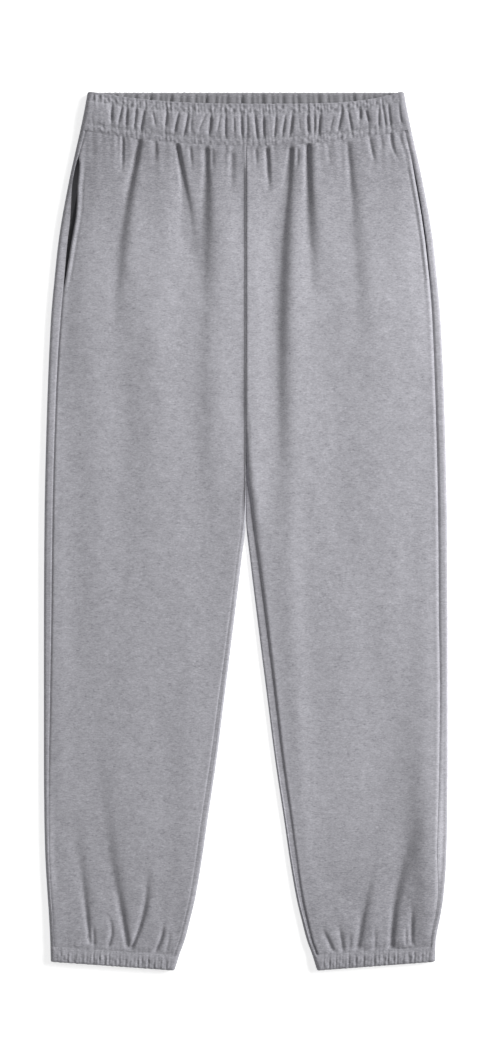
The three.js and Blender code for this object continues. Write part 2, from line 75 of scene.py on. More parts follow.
# Outer edge and inner edge of one leg, from the middle line
OUTLINE = table(
    "down out inner",
    (0, 180, 0.03),
    (20, 183.5, 0.03),
    (44, 188.5, 0.03),
    (66, 193.5, 0.03),
    (100, 201, 0.03),
    (168, 213, 0.03),
    (214, 218, 0.03),
    (260, 222, 0.03),
    (350, 226, 0.03),
    (440, 228.5, 0.03),
    (480, 229.2, 0.06),
    (492, 229.3, 0.4),
    (532, 229.7, 4.8),
    (624, 230, 16),
    (692, 230, 24.6),
    (760, 230, 33.2),
    (829, 229.5, 43.5),
    (874, 228.5, 50),
    (920, 226, 58),
    (942, 224.5, 63.3),
    (965, 223.2, 69.3),
    (982, 222.5, 75.5),
    (1000, 222, 81),
)

# How far the right leg's outer edge is drawn in by its hem elastic
RIGHT_DRAW = table("down inward", (900, 0), (925, 0.6), (948, 2.6), (965, 5.2), (978, 6.5), (1000, 6.5))

# Height of the cloth's upper face in the middle of a panel and at its folds
LOFT = table(
    "down middle edge",
    (44, 10.6, 9.6),
    (52, 9.9, 9.2),
    (72, 8.2, 8.7),
    (100, 7.7, 8.4),
    (150, 7.9, 8.1),
    (214, 7.8, 7.8),
    (300, 7.4, 7.6),
    (440, 7.1, 8),
    (520, 6.9, 7.8),
    (640, 6.7, 7.1),
    (850, 6.8, 7),
    (920, 7.6, 7.6),
    (950, 8.6, 8.2),
    (970, 9, 8.8),
    (982, 8.8, 8.6),
)

# Waistband and hem casing: height over both layers and how deep the gathers are there
BAND = table(
    "down high gather ruffle",
    (0, 10, 0.2, 0.9),
    (2, 10.3, 0.3, 1.3),
    (6, 10.7, 0.4, 1.6),
    (10, 10.7, 0.55, 1.1),
    (14, 11.6, 0.9, 0.5),
    (22, 12, 1, 0.3),
    (31, 11.7, 1, 0.4),
    (36, 10.9, 0.6, 0.7),
    (40, 10.6, 0.45, 0.9),
    (44, 9.9, 0.4, 0.7),
)
CASING = table(
    "down high gather",
    (982, 8.7, 0.15),
    (986, 9.4, 0.35),
    (991, 9.9, 0.9),
    (997, 9.9, 0.85),
    (1000, 8.9, 0.6),
)

# The waist edge hangs in a shallow curve between its corners, the front one more than the back one
SAG = table("down front back", (0, 13.5, 0), (44, 18, 6), (120, 8, 3), (220, 0, 0))

# Side seam, from the leg's outer edge: where the back's edge lies, and the gap to the front's edge
SIDE_SEAM = table(
    "down left_back left_gap right_back right_gap",
    (44, 6.5, 0.3, 7, 0.3),
    (72, 5.2, 0.4, 7, 0.3),
    (84, 3.8, 4.6, 7, 0.8),
    (102, 4.2, 6.3, 7.2, 1.2),
    (128, 7.4, 6.8, 7.4, 1.4),
    (148, 9.8, 5.8, 7.8, 1.4),
    (190, 10.8, 3.4, 8.2, 1.2),
    (214, 11.2, 1.6, 8.4, 0.8),
    (230, 11.4, 0.3, 9, 0.3),
    (330, 10, 0.3, 9.8, 0.3),
    (578, 9, 0.3, 10, 0.3),
    (683, 7.5, 0.3, 8.8, 0.3),
    (787, 5.8, 0.3, 9.8, 0.3),
    (866, 5, 0.3, 11, 0.3),
    (931, 4.6, 0.3, 6, 0.3),
    (982, 4.6, 0.3, 5.4, 0.3),
)

# Inseam of the front, from the leg's inner edge
INSEAM = table(
    "down left right",
    (425, 0, 0),
    (437, 0, 1),
    (448, 0.8, 2.6),
    (456, 3.2, 4),
    (472, 4.4, 6.2),
    (500, 4.8, 8.2),
    (600, 5.6, 9.4),
    (800, 7, 8),
    (982, 6, 5.4),
)

# How deep the groove of each seam is
SEAM_DEPTH = table(
    "down outer_left outer_right centre_left centre_right inner_left inner_right",
    (44, 0.4, 0.5, 0.3, 0.6, 0, 0),
    (90, 0.4, 1.4, 0.2, 0.5, 0, 0),
    (210, 0.5, 1.6, 0.2, 0.5, 0, 0),
    (300, 0.8, 1.2, 0.2, 0.5, 0, 0),
    (440, 0.7, 1.2, 0.2, 0.5, 0.1, 0.4),
    (476, 0.7, 1.2, 0, 0, 0.2, 0.8),
    (520, 0.7, 1.2, 0, 0, 0.2, 1),
    (700, 0.5, 1.1, 0, 0, 0.4, 0.9),
    (850, 0.3, 0.7, 0, 0, 0.4, 0.9),
    (982, 0.2, 0.2, 0, 0, 0.3, 0.6),
)

# How far each leg's inner strip lies below the front, how far it reaches from the leg's inner edge and
# the width over which the cloth turns down to it
STRIP = table(
    "down left left_reach left_soft right right_reach right_soft",
    (366, 0, 1.4, 2.6, 0, 4.1, 4),
    (390, 0, 1.4, 2.6, 1.4, 6.2, 6),
    (418, 0, 1.4, 2.6, 3, 8.5, 8),
    (446, 0.1, 1.8, 2.6, 3.7, 11.4, 9.5),
    (468, 0.1, 5, 2.6, 3.7, 14.6, 9.5),
    (500, 0.2, 6, 2.6, 3.5, 16.8, 9),
    (532, 0.2, 6.2, 2.6, 3.3, 15.9, 7.5),
    (640, 0.3, 7.2, 2.6, 2.4, 14.2, 5),
    (800, 0.3, 8.2, 2.6, 1.8, 12, 4.4),
    (982, 0.3, 7.2, 2.6, 1.2, 9, 4),
)

# Folds that run down from the waistband and up from the hems: across at the top, middle and foot, and
# where each runs from and to. At the elastic a fold is a slit of that width and depth. Further along
# the cloth steps up to the right across it, over the half width wide and by the height wave.
WAIST_FOLDS = table(
    "top middle foot start end width slit wide wave",
    (-76.5, -63, -52, 46, 226, 2.4, 4.4, 6, 3.8),
    (-42.5, -43, -46, 48, 310, 3.4, 3.1, 9, 6),
    (-46, -46, -46, 250, 600, 3, 0, 11, 1.8),
    (-119, -140, -146, 45, 330, 2.8, 3.8, 8, 4),
    (-140, -126, -122, 240, 640, 3, 0, 15, 1),
    (-138.6, -139, -139.7, 45, 92, 1.8, 2.3, 3, 0),
    (-14.4, -14.4, -14.4, 52, 118, 3, 1.3, 6, 0.8),
    (-36, -36, -36, 48, 88, 2.6, 1.2, 3, 0),
    (-62, -61, -60, 48, 76, 2, 1.6, 3, 0),
    (-101, -101, -102, 46, 70, 2.4, 1.2, 3, 0),
    (12, 13, 13, 48, 74, 2, 1.5, 3, 0),
    (25.5, 27, 28.3, 48, 112, 2.2, 2.8, 5, 0.8),
    (60, 60, 58, 48, 80, 2, 1.5, 3, 0),
    (53, 42, 47, 47, 520, 3, 4.4, 8.5, 6),
    (72, 76, 84, 45, 270, 2.8, 5.4, 7, 3.8),
    (95, 96, 97, 47, 78, 2.4, 1, 3, 0),
    (117, 129, 133, 46, 330, 3, 2.1, 10, 2.8),
    (142, 145, 149.8, 45, 80, 2, 1.8, 3, 0),
    (155, 156, 158, 45, 64, 2, 0.9, 3, 0),
    (166.5, 169, 177, 45, 80, 2, 1.9, 3, 0),
    (175, 183, 191, 46, 92, 2.4, 0.9, 3, 0),
)
HEM_FOLDS = table(
    "top middle foot start end width slit wide wave",
    (-198, -186, -176, 780, 976, 2.6, 1.8, 8, 1.8),
    (-171.8, -171.6, -171, 950, 978, 2.2, 1.4, 3, 0),
    (-157, -151, -155.5, 938, 978, 2.4, 1.8, 3, 0.4),
    (-170, -154, -132, 700, 978, 3.2, 2.8, 13, 3),
    (-110, -111, -128.5, 860, 978, 2.4, 2.7, 8, 2.2),
    (-92, -94, -101, 944, 979, 2.4, 2.6, 3, 0.4),
    (-84.5, -86, -88.5, 952, 978, 2.2, 1, 3, 0),
    (87, 94, 101.5, 948, 980, 2.8, 2, 3, 0.4),
    (106.5, 109.7, 112, 946, 980, 2.8, 1.8, 3, 0.3),
    (120, 120, 120, 954, 978, 2.4, 0.9, 3, 0),
    (172, 151, 129.3, 700, 978, 3.4, 2.6, 12, 4.8),
    (148.5, 148.5, 148.3, 950, 980, 2.4, 1.2, 3, 0),
    (222, 182.3, 167.5, 790, 980, 3.2, 3.4, 12, 6.5),
    (192.4, 190.3, 190.5, 926, 978, 2.6, 2.2, 4, 0.5),
    (183.4, 183.4, 183.4, 952, 978, 2, 1.2, 3, 0),
    (176, 188, 196, 560, 970, 3, 0, 17, 5),
    (85.8, 87, 89, 870, 965, 3, 0, 9, 1.2),
)

# Long soft swells of the cloth: across at the top and foot, where each runs from and to, its half
# width and its height
SWELLS = table(
    "top foot start end width height",
    (161, 163, 110, 700, 34, 1.3),
    (8, 11, 60, 480, 14, 1.3),
    (55, 52, 150, 560, 14, 1.1),
    (48, 70, 500, 900, 12, 1.2),
    (100, 108, 180, 520, 18, -0.5),
    (205, 204, 480, 930, 12, 0.7),
    (110, 118, 560, 900, 24, 0.5),
    (-172, -168, 130, 620, 20, 1.1),
    (-96, -98, 200, 640, 24, 0.9),
    (-24, -26, 130, 460, 16, 0.7),
    (-214, -212, 380, 860, 12, 0.7),
    (-125, -120, 560, 880, 30, 0.5),
    (-62, -74, 560, 930, 16, 0.6),
)

# The waistband's pleats: across at the top and foot, where each runs from and to, and its depth
PLEATS = table(
    "top foot start end depth",
    (-152, -153, 11, 31, 2.4),
    (-140.5, -145, 10.5, 30, 2.2),
    (-135, -136, 14, 32, 2.5),
    (-125, -127.5, 12, 35.5, 2.3),
    (-115.5, -119.5, 12, 35.5, 2.6),
    (-105.5, -102.5, 14, 28, 1.1),
    (-90, -91.5, 9.5, 28, 2.3),
    (-76.5, -81.5, 12, 34, 2.5),
    (-66, -71, 12.5, 36.5, 2.5),
    (-62, -62.5, 18, 31, 0.9),
    (-47, -53.5, 15, 29, 1.2),
    (-40, -42, 15, 32, 2.7),
    (-29, -32.5, 13, 29, 1),
    (-23, -23, 14, 37, 2.1),
    (-13.5, -13.5, 16, 29, 1.2),
    (-5.5, -4.5, 12, 34, 2.5),
    (1, 1, 11, 37, 1.2),
    (9.5, 13, 8, 39, 2.6),
    (20, 20.5, 15, 37, 2.2),
    (34, 32, 13, 36, 1.9),
    (44.5, 41.5, 13.5, 34, 2.1),
    (52.5, 49.5, 12, 35, 2.7),
    (60.5, 61.5, 18, 30, 0.6),
    (70, 71, 13, 33.5, 2.8),
    (77.5, 77.5, 12.5, 35, 2.5),
    (84, 82.5, 13.5, 40, 2.8),
    (99, 96, 18, 33, 0.9),
    (109, 104.5, 10, 34.5, 2.4),
    (115.5, 120, 4.5, 36, 2),
    (129, 129.5, 9, 24, 2.7),
    (136.5, 139, 14, 28, 2.4),
    (151, 151, 12, 36.5, 2.3),
    (154, 159, 4.5, 39, 1.8),
    (161.5, 165, 12, 42, 2.1),
    (174.5, 177, 15, 37, 2.1),
)
PLEAT_WIDTH = 1.8
PLEAT_GAIN = 1.02
BACK_PLEATS = 44
BACK_PLEAT_DEPTH = 1.7
UNDER_DEPTH = 0.9  # creases in the underside, which rests flat

# Valleys of the hem gathers on the left and right leg, from the middle line, at the hem edge
LEFT_HEM_VALLEYS = (
    -202.5, -195.5, -187, -181, -173, -166.5, -161, -155.5, -150, -143.5, -137, -129, -123,
    -118, -111, -105, -98.5, -91, -84.5,
)
RIGHT_HEM_VALLEYS = (
    89, 95, 102.5, 110, 117, 125, 134, 145.5, 151, 156, 161.5, 167.5, 172, 177.5, 185, 191.5, 200.5, 208,
)
HEM_GATHER_WIDTH = 1.4
LEFT_GATHER_DEPTH = 0.6
RIGHT_GATHER_DEPTH = 0.85

# Pocket bag: reach inwards from the leg's outer edge, and where it begins and ends down the cloth
BAG = table(
    "reach start end",
    (12, 86, 222),
    (32, 84, 268),
    (60, 92, 306),
    (88, 108, 322),
    (110, 134, 312),
    (124, 172, 282),
)
BAG_LIFT = 1.5
CAD_WALL = table("down wall", (44, 3.2), (70, 3.2), (100, 2.9), (150, 2.5), (214, 2.3), (300, 2.2), (440, 2.2))
POCKET_FACING = 6  # from the pocket's edge to its topstitching
POCKET_TOP = 74
POCKET_FOOT = 229


def read(chart, down, column):
    """A table's column at rows down the cloth, on a smooth curve that never overshoots."""
    x, y = chart["down"], chart[column]
    step = np.diff(x)
    rise = np.diff(y) / step
    product = rise[:-1] * rise[1:]
    total = np.where(product > 0, rise[:-1] + rise[1:], 1)
    inside = np.where(product > 0, 2 * product / total, 0)
    slope = np.concatenate([rise[:1], inside, rise[-1:]])
    i = np.clip(np.searchsorted(x, down, side="right") - 1, 0, len(step) - 1)
    t = np.clip((down - x[i]) / step[i], 0, 1)
    ease = t * t * (3 - 2 * t)
    bend = t * (1 - t) * ((1 - t) * slope[i] - t * slope[i + 1]) * step[i]
    return y[i] * (1 - ease) + y[i + 1] * ease + bend


def smoothstep(value, low, high):
    t = np.clip((value - low) / (high - low), 0, 1)
    return t * t * (3 - 2 * t)


def bell(s):
    return np.exp(-s * s)


def slit(s):
    """A narrow valley with a rounded crest on each side."""
    return np.exp(-np.abs(s) ** 1.5)


def uneven(i):
    """An even spread of unlike numbers from -0.5 to 0.5."""
    return (i * GOLDEN_RATIO) % 1 - 0.5


def lumps(x, y, wide, tall, seed, waves=7):
    """Soft uneven relief from -1 to 1, in lumps of about that width and height."""
    total = 0
    for i in range(waves):
        turn = 0.9 * uneven(i + seed)
        size = 0.7 + 0.9 * (uneven(2 * i + seed) + 0.5)
        phase = 2 * np.pi * (uneven(3 * i + 5 * seed) + 0.5)
        along = x / wide * np.cos(turn) + y / tall * np.sin(turn) * 1.4
        aside = y / tall * np.cos(turn) - x / wide * np.sin(turn)
        total = total + np.sin(np.pi * along / size + phase) * np.cos(np.pi * aside / size + 2 * phase)
    return total / waves ** 0.5


def fold_relief(folds, x, down, from_hem):
    """Folds that are narrow slits at the elastic and open out into soft steps away from it."""
    total = 0
    for fold in rows_of(folds):
        t = (down - fold.start) / (fold.end - fold.start)
        along = np.clip(t, 0, 1)
        middle = (
            fold.top * (1 - along) * (1 - 2 * along)
            + 4 * fold.middle * along * (1 - along)
            + fold.foot * along * (2 * along - 1)
        )
        lead = along if from_hem else 1 - along
        away = fold.end - down if from_hem else down - fold.start
        near = smoothstep(away, -3, 3)
        opened = smoothstep(away, 8, 120)
        side = (x - middle) / (fold.width * (1 + 1.2 * opened)) + 0.7
        valley = smoothstep(lead, 0, 0.6) * (1 - 0.8 * opened) * np.exp(-np.abs(side) ** 1.8)
        s = (x - middle) / (fold.wide * (0.7 + 0.3 * opened + 0.4 * (1 - lead)))
        step = np.tanh(s) * np.exp(-np.abs(s) / np.where(s < 0, 4.5, 3))
        strength = (0.3 + 0.7 * opened) * smoothstep(lead, 0, 0.8)
        total = total + near * (fold.wave * strength * step - fold.slit * valley)
    return total


def swell_relief(x, down):
    total = 0
    for swell in rows_of(SWELLS):
        t = (down - swell.start) / (swell.end - swell.start)
        middle = swell.top + (swell.foot - swell.top) * np.clip(t, 0, 1)
        ends = smoothstep(t, -0.2, 0.3) * (1 - smoothstep(t, 0.7, 1.2))
        total = total + swell.height * ends * bell((x - middle) / swell.width)
    return total


def pleat_relief(x, down, fade):
    """How deep the waistband's pleats are. fade is how much of each is left past its two ends."""
    total = 0
    for i, pleat in enumerate(rows_of(PLEATS)):
        t = (down - pleat.start) / (pleat.end - pleat.start)
        middle = pleat.top + (pleat.foot - pleat.top) * np.clip(t, -0.2, 1.2)
        middle = middle + 0.9 * uneven(i) * np.sin(np.pi * np.clip(t, 0, 1))
        ends = smoothstep(t, -0.25, 0.2) * (1 - smoothstep(t, 0.82, 1.12))
        wide = PLEAT_WIDTH * (0.6 + 0.15 * pleat.depth)
        total = total + pleat.depth * (fade + (1 - fade) * ends) * slit((x - middle) / wide)
    return PLEAT_GAIN * total


def ruffle(x, down, pitch, seed):
    """Fine puckers along a row of stitches, from about -1 to 1."""
    lean = 0.25 * down * uneven(seed)
    first = np.sin(2 * np.pi * (x + lean) / pitch + 1.9 * np.sin(x / (2.7 * pitch) + seed))
    second = np.sin(2 * np.pi * (x - lean) / (1.7 * pitch) + 1.3 * np.sin(x / (3.9 * pitch) + 2 * seed))
    return 0.6 * first + 0.4 * second


def uneven_ruffle(x, down, pitch, seed):
    """Puckers that come and go along a seam."""
    return ruffle(x, down, pitch, seed) * (0.5 + 0.5 * lumps(x, 0 * down, 17, 30, seed + 3))


def leg_rows(side, down):
    """Rows across one leg. Across values count outwards from the middle line."""
    name = "right" if side > 0 else "left"
    draw = read(RIGHT_DRAW, down, "inward") if side > 0 else 0
    out = read(OUTLINE, down, "out") - draw
    inner = read(OUTLINE, down, "inner")
    edge = read(LOFT, down, "edge")
    fold_out = edge / 2
    strip_low = read(STRIP, down, name)
    fold_in = (edge - strip_low) / 2 * smoothstep(down, TORSO_END, FOLD_ROUND)
    row = SimpleNamespace(
        side=side, down=down, out=out, inner=inner, high=edge, fold_out=fold_out, fold_in=fold_in,
        first=inner + fold_in, last=out - fold_out, tilt_from=inner, tilt_to=out, strip_low=strip_low,
        strip_end=inner + read(STRIP, down, name + "_reach"), strip_soft=read(STRIP, down, name + "_soft"),
        bumps=lambda across, back: 0,
    )
    row.sag_span = row.last
    row.back_edge = read(SIDE_SEAM, down, name + "_back")
    row.opening = read(SIDE_SEAM, down, name + "_gap")
    row.inset = np.where(down > TORSO_END, read(INSEAM, down, name), 0)
    row.front_edge = row.back_edge + row.opening
    row.upper = lambda across: leg_upper(row, across)
    row.under = lambda across: leg_under(row, across)
    return row


def leg_upper(row, across):
    """Height of the front's outer face."""
    down, x = row.down, row.side * across
    hem_valleys = RIGHT_HEM_VALLEYS if row.side > 0 else LEFT_HEM_VALLEYS
    legs = smoothstep(down, 400, CROTCH + 20)
    near_out = bell((row.last - across) / 26)
    near_in = legs * bell((across - row.first) / 22)
    middle = read(LOFT, down, "middle")
    plain = middle + (row.high - middle) * np.maximum(near_out, near_in)
    over_bag = smoothstep(down, 60, 100) * (1 - smoothstep(down, 290, 340))
    bag = smoothstep(across, row.out - 150, row.out - 112) * (1 - smoothstep(across, row.out - 34, row.out - 10))
    calm = 1 - bell((row.last - across) / 5)
    folds = fold_relief(WAIST_FOLDS, x, down, False) + fold_relief(HEM_FOLDS, x, down, True)

    # Drape: long soft streaks from both elastics, and shallow lumps over the whole panel
    from_waist = 1 - smoothstep(down, 60, 420)
    from_hem = smoothstep(down, 820, 960)
    streaks = 0.35 * from_waist * lumps(x, down, 20, 130, 3 + row.side) + 0.35 * from_hem * lumps(x, down, 17, 80, 8)
    drape = streaks + 0.22 * lumps(x, down, 30, 200, 5 + row.side) + 0.13 * lumps(x, down, 15, 24, 11)
    drape = drape + swell_relief(x, down)

    # Gathers that run on from the two elastics
    near_band = 1 - smoothstep(down, BAND_DEPTH, BAND_DEPTH + 16)
    band = 0.25 * near_band * pleat_relief(x, np.minimum(down, 36), 0.3)
    band = band + 0.3 * near_band * uneven_ruffle(x, down, 6.3, 2)
    below_band = 1 - smoothstep(down, BAND_DEPTH + 10, BAND_DEPTH + 62)
    band = band + 0.6 * below_band * uneven_ruffle(x, down, 10.5, 12)
    near_hem = smoothstep(down, 966, CASING_TOP)
    hem = 0.35 * near_hem * hem_relief(x, hem_valleys)

    # The seams: the cloth turns down to a stitched seam and stands a little proud beside it
    seam = read(SEAM_DEPTH, down, "outer_right" if row.side > 0 else "outer_left")
    seam = seam * seam_shoulder(row.out - row.front_edge - across, 1.1 + 0.6 * (row.side > 0))
    centre_depth = read(SEAM_DEPTH, down, "centre_right" if row.side > 0 else "centre_left")
    centre = np.where(down < CROTCH, centre_depth * seam_shoulder(across, 0.9), 0)
    inseam = read(SEAM_DEPTH, down, "inner_right" if row.side > 0 else "inner_left")
    inseam = np.where(down > CROTCH, inseam * seam_shoulder(across - row.inner - row.inset, 1.1), 0)
    pinch = 0.6 * bell((down - BAND_DEPTH) / 2.4) + 0.35 * bell((down - CASING_TOP) / 2.6)

    # Four seams meet at the crotch, and the cloth is thick over them
    bulk = 1.8 * bell((down - 458) / 34) * bell(across / 15)

    # The right front stands higher than the left one along the middle seam
    step = smoothstep(down, 50, 90) * (1 - smoothstep(down, 470, 510)) * np.exp(-np.abs(x) / 14)
    step = step * (2.6 * (1 - np.exp(-(np.clip((x + 2.4) / 2.4, 0, None) ** 1.5))) - 1.1)

    # Beside the crotch the right leg's back shows as a low strip between its inseam and the left leg
    strip_drop = (row.strip_low + bulk) * np.clip((row.strip_end - across) / row.strip_soft, 0, 1) ** 2.2
    strip_drop = np.where(row.strip_low > 1, strip_drop, row.strip_low * smoothstep(row.strip_end - across, 0, 2.6))

    # The pocket's edge is a welt of doubled cloth, held down by a row of topstitching
    pocket = smoothstep(down, POCKET_TOP - 6, POCKET_TOP + 24) * (1 - smoothstep(down, POCKET_FOOT - 30, POCKET_FOOT + 4))
    inside = row.out - row.front_edge - across
    welt = smoothstep(inside, -0.2, 1.2) * (1 - smoothstep(inside, 1.6, POCKET_FACING - 0.4))
    groove = bell((inside - POCKET_FACING) / 1.1)
    facing = pocket * (0.8 * welt - 0.5 * groove)

    relief = folds + drape * smoothstep(down, BAND_DEPTH, 70) * (1 - 0.6 * near_hem) - band - hem + BAG_LIFT * over_bag * bag
    height = plain + relief * calm + step + bulk - seam - centre - inseam - pinch - strip_drop + facing
    return resting(height)


def resting(height):
    """The front lies on the layer under it and cannot sink through it."""
    return (height + LAYERS + np.sqrt((height - LAYERS) ** 2 + 0.5)) / 2


def seam_shoulder(distance, width):
    """How far the cloth turns down towards a seam, at a distance from it."""
    return bell(distance / width) - 0.2 * bell((distance - 2 - width) / 1.8)


def hem_relief(x, valleys):
    total = 0
    for i, middle in enumerate(valleys):
        deep = 1 + 1.2 * uneven(i + 2)
        total = total + deep * slit((x - middle) / (HEM_GATHER_WIDTH * (1 + 0.5 * uneven(i + 5))))
    return np.where(x < 0, LEFT_GATHER_DEPTH, RIGHT_GATHER_DEPTH) * total


def leg_under(row, across):
    """Height of the back's outer face over the surface: creases, and seams that turn in."""
    down, x = row.down, row.side * across
    near_band = bell((down - BAND_DEPTH) / 16)
    near_hem = bell((CASING_TOP - down) / 12)
    gathers = near_band * np.maximum(ruffle(x, down, 11, 4), 0) + near_hem * np.maximum(ruffle(x, down, 7, 6), 0)
    creases = 0.5 * (smoothstep(down, 60, 90) - smoothstep(down, 240, 400)) * np.maximum(lumps(x, down, 19, 160, 14), 0)
    creases = creases + 0.5 * smoothstep(down, 830, 960) * np.maximum(lumps(x, down, 15, 90, 16), 0)
    centre = np.where(down < CROTCH, bell(across / 1.3), 0)
    pinch = bell((down - BAND_DEPTH) / 2) + bell((down - CASING_TOP) / 1.8)
    edges = (1 - bell((row.last - across) / 8)) * (1 - bell((across - row.first) / 8) * (down > CROTCH))
    return UNDER_DEPTH * (0.7 * gathers + creases) * edges + 0.9 * (centre + pinch) * (1 - bell((row.last - across) / 3))


def band_rows(down):
    """Rows across the waistband, from one side fold to the other."""
    out = read(OUTLINE, down, "out")
    high = read(BAND, down, "high")
    row = SimpleNamespace(
        side=1, down=down, out=out, inner=-out, high=high, fold_out=high / 2, fold_in=high / 2,
        first=-(out - high / 2), last=out - high / 2, tilt_from=-out, tilt_to=out, strip_low=0,
    )
    edge = bell(down / 5)
    row.bumps = lambda across, back: edge * 0.55 * (1 + uneven_ruffle(across, 9 * back, 7.3 - 1.6 * back, 8))
    row.sag_span = row.last
    row.upper = lambda across: band_upper(row, across)
    row.under = lambda across: band_under(row, across)
    return row


def band_upper(row, across):
    down = row.down
    calm = 1 - bell((row.last - np.abs(across)) / 3)
    gather, puckers = read(BAND, down, "gather"), read(BAND, down, "ruffle")
    pleats = gather * pleat_relief(across, down, 0.2)
    fine = 0.4 * puckers * (uneven_ruffle(across, down, 5.9, 1) + 0.8 * uneven_ruffle(across, down, 3.9, 5))
    fine = fine + 0.3 * puckers * lumps(across, down, 3.6, 4, 17)
    crests = 0.35 * gather * lumps(across, down, 12, 30, 21)
    soft = 0.7 + 0.3 * lumps(across, 0 * down, 20, 20, 13)
    pinch = 0.5 * bell((down - 10) / 1.8) + 0.7 * bell((down - 36) / 1.9) + 0.35 * bell((down - BAND_DEPTH) / 2.2)
    pinch = soft * pinch
    return row.high + (crests + fine - pleats) * calm - pinch * (0.4 + 0.6 * calm)


def band_under(row, across):
    down = row.down
    calm = 1 - bell((row.last - np.abs(across)) / 6)
    gather = read(BAND, down, "gather")
    pleats = gather * np.maximum(ruffle(across, down, 10.5, 9), 0)
    pinch = 0.4 * bell((down - 10) / 1.5) + 0.5 * bell((down - 36) / 1.5) + 0.8 * bell((down - BAND_DEPTH) / 1.6)
    return (UNDER_DEPTH * pleats + 0.8 * pinch) * calm


def casing_rows(side, down):
    """Rows across one hem casing."""
    draw = read(RIGHT_DRAW, down, "inward") if side > 0 else 0
    out = read(OUTLINE, down, "out") - draw
    inner = read(OUTLINE, down, "inner")
    high = read(CASING, down, "high")
    row = SimpleNamespace(
        side=side, down=down, out=out, inner=inner, high=high, fold_out=high / 2, fold_in=high / 2,
        first=inner + high / 2, last=out - high / 2, tilt_from=inner, tilt_to=out, strip_low=0,
    )
    edge = bell((LENGTH - down) / 4)
    row.bumps = lambda across, back: -edge * 0.35 * (1 + uneven_ruffle(across, 9 * back, 5.7, 3))
    row.sag_span = row.last
    row.upper = lambda across: casing_upper(row, across)
    row.under = lambda across: casing_under(row, across)
    return row


def casing_upper(row, across):
    down, x = row.down, row.side * across
    valleys = RIGHT_HEM_VALLEYS if row.side > 0 else LEFT_HEM_VALLEYS
    calm = (1 - bell((row.last - across) / 3)) * (1 - bell((across - row.first) / 3))
    gather = read(CASING, down, "gather")
    fine = 0.3 * gather * (ruffle(x, down, 3.9, 3) + lumps(x, down, 4, 5, 19))
    pinch = 0.35 * bell((down - CASING_TOP) / 2.6)
    return row.high + (fine - gather * hem_relief(x, valleys)) * calm - pinch


def casing_under(row, across):
    down, x = row.down, row.side * across
    calm = (1 - bell((row.last - across) / 4)) * (1 - bell((across - row.first) / 4))
    gather = read(CASING, down, "gather")
    return (UNDER_DEPTH * gather * np.maximum(ruffle(x, down, 6.5, 6), 0) + 0.7 * bell((down - CASING_TOP) / 1.6)) * calm


def around(row, station, wall, lining=0):
    """Places round a tube. Stations 0 to 1 run over the top from the inner to the outer fold, 1 to 2
    down round the outer fold, 2 to 3 back under, 3 to 4 up round the inner fold, and on from there.
    wall is how far inside the outer face the place is, and lining is added to the back's inner face."""
    lap = np.floor(station)
    part = station - lap
    turn = lap % 4
    angle = part * np.pi
    half = row.high / 2
    inner_half = half - wall
    half_in = (row.high - row.strip_low) / 2
    span = row.last - row.first
    top_across = row.first + part * span
    under_across = row.last - part * span
    reach = np.maximum(row.fold_out - wall, 0.05)
    swing = np.maximum(row.fold_in - wall, 0.05) if wall > 0 else row.fold_in
    centre = row.inner + wall + swing if wall > 0 else row.first
    across = np.select(
        [turn == 0, turn == 1, turn == 2],
        [top_across, row.last + reach * np.sin(angle), under_across],
        centre - swing * np.sin(angle),
    )
    z = np.select(
        [turn == 0, turn == 1, turn == 2],
        [row.upper(top_across) - wall, half + inner_half * np.cos(angle), row.under(under_across) + wall + lining],
        half_in - (half_in - wall) * np.cos(angle),
    )
    back = np.select([turn == 0, turn == 1, turn == 2], [0 * part, part, 1 + 0 * part], 1 - part)
    return settle(row, across, z, back)


def settle(row, across, z, back):
    """Rows near the waist sag between the corners, and rows near a hem tilt."""
    near = np.minimum(np.abs(across) / row.sag_span, 1)
    bend = 2 + (0.4 + 2 * (row.side * across > 0)) * (1 - smoothstep(row.down, 0, 30))
    sag = read(SAG, row.down, "front") * (1 - back) + read(SAG, row.down, "back") * back
    share = (across - row.tilt_from) / (row.tilt_to - row.tilt_from)
    tilt = HEM_TILT * smoothstep(row.down, HEM_TILT_FROM, HEM_TILT_FULL) * share
    lies = row.down + sag * (1 - near ** bend) - tilt + row.bumps(across, back)
    return np.stack([row.side * across, LENGTH / 2 - lies, z + 0 * lies], axis=-1)


def station_of(row, across):
    return (across - row.first) / (row.last - row.first)


def outer_seam(row, inset):
    """Station of a seam that lies a little inside the leg's outer edge."""
    on_fold = 1 + np.arcsin(np.clip(1 - inset / row.fold_out, -1, 1)) / np.pi
    return np.where(inset >= row.fold_out, station_of(row, row.out - inset), on_fold)


def inner_seam(row, inset):
    fold = np.maximum(row.fold_in, 0.01)
    on_fold = -np.arcsin(np.clip(1 - inset / fold, -1, 1)) / np.pi
    return np.where(inset >= row.fold_in, station_of(row, row.inner + inset), on_fold)


def panel_ends(row):
    """Stations where the front and the back begin and end on each row."""
    front_start = inner_seam(row, row.inset)
    span = row.last - row.first
    beyond = SEAM_GAP - np.maximum(front_start, 0) * span
    on_fold = np.minimum(front_start, 0) - beyond / (np.pi * row.fold_out)
    back_inside = np.where(beyond > 0, on_fold, front_start - SEAM_GAP / span)
    return SimpleNamespace(
        front_start=front_start,
        front_end=outer_seam(row, row.front_edge),
        back_start=outer_seam(row, row.back_edge),
        back_end=np.where(row.down > TORSO_END, 4 + back_inside, 3),
    )


